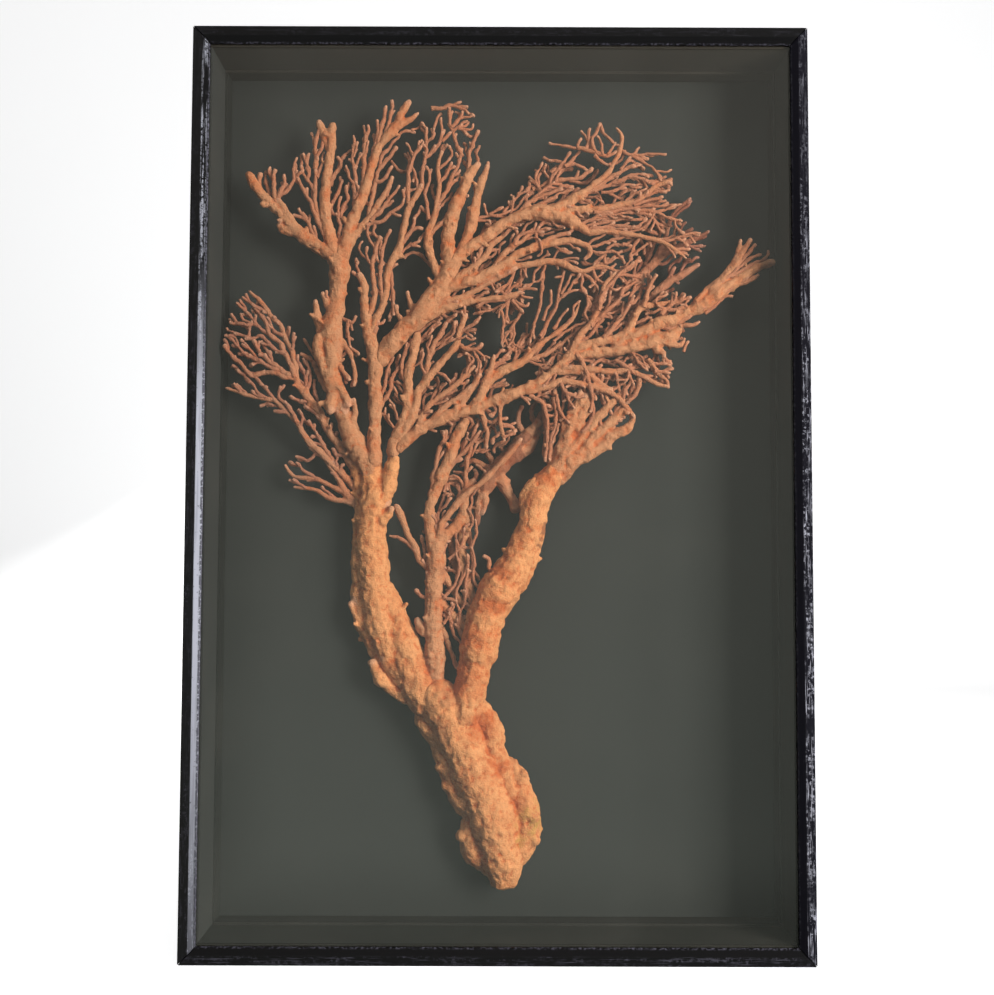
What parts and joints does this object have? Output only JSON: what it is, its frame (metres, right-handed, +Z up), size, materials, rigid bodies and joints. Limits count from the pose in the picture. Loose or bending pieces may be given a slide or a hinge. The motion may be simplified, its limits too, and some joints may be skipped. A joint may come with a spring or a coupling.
{
  "type": "sea fan in a glazed shadow box",
  "caption": "Dried orange knotted sea fan, flat and finely branched, fixed upright on a dark back board inside a deep black wooden case with a glass front.",
  "frame": {"origin": "middle of the case's footprint, on the surface that the bottom rail stands on", "axes": "+Z up the case's height, +X to the right seen from the glass side, +Y from the glass towards the back board"},
  "size_m": [0.44, 0.068, 0.66],
  "materials": {
    "lacquered_wood": "satin",
    "clear_glass": "polished",
    "liner_paint": "matte",
    "fillet_paint": "matte",
    "board_paint": "matte",
    "coral_crust": "matte"
  },
  "bodies": {
    "root": {"bottom_rail": "lacquered_wood", "top_rail": "lacquered_wood", "left_rail": "lacquered_wood", "right_rail": "lacquered_wood", "glass_pane": "clear_glass", "bottom_liner": "liner_paint", "top_liner": "liner_paint", "left_liner": "liner_paint", "right_liner": "liner_paint", "bottom_fillet": "fillet_paint", "top_fillet": "fillet_paint", "left_fillet": "fillet_paint", "right_fillet": "fillet_paint", "back_board": "board_paint", "holdfast_trunk": "coral_crust", "left_main_limb": "coral_crust", "right_main_limb": "coral_crust", "centre_limb": "coral_crust", "upper_left_stem": "coral_crust", "left_finger": "coral_crust", "tall_finger": "coral_crust", "crown_finger": "coral_crust", "left_side_fan": "coral_crust", "left_lower_fan": "coral_crust", "left_root_fan": "coral_crust", "inner_left_limb": "coral_crust", "inner_upper_limb": "coral_crust", "upper_right_fan": "coral_crust", "middle_fan": "coral_crust", "inner_lower_limb": "coral_crust", "lower_right_fan": "coral_crust", "far_right_finger": "coral_crust", "right_plate": "coral_crust", "rear_limb": "coral_crust", "rear_right_fan": "coral_crust"}
  },
  "joints": []
}
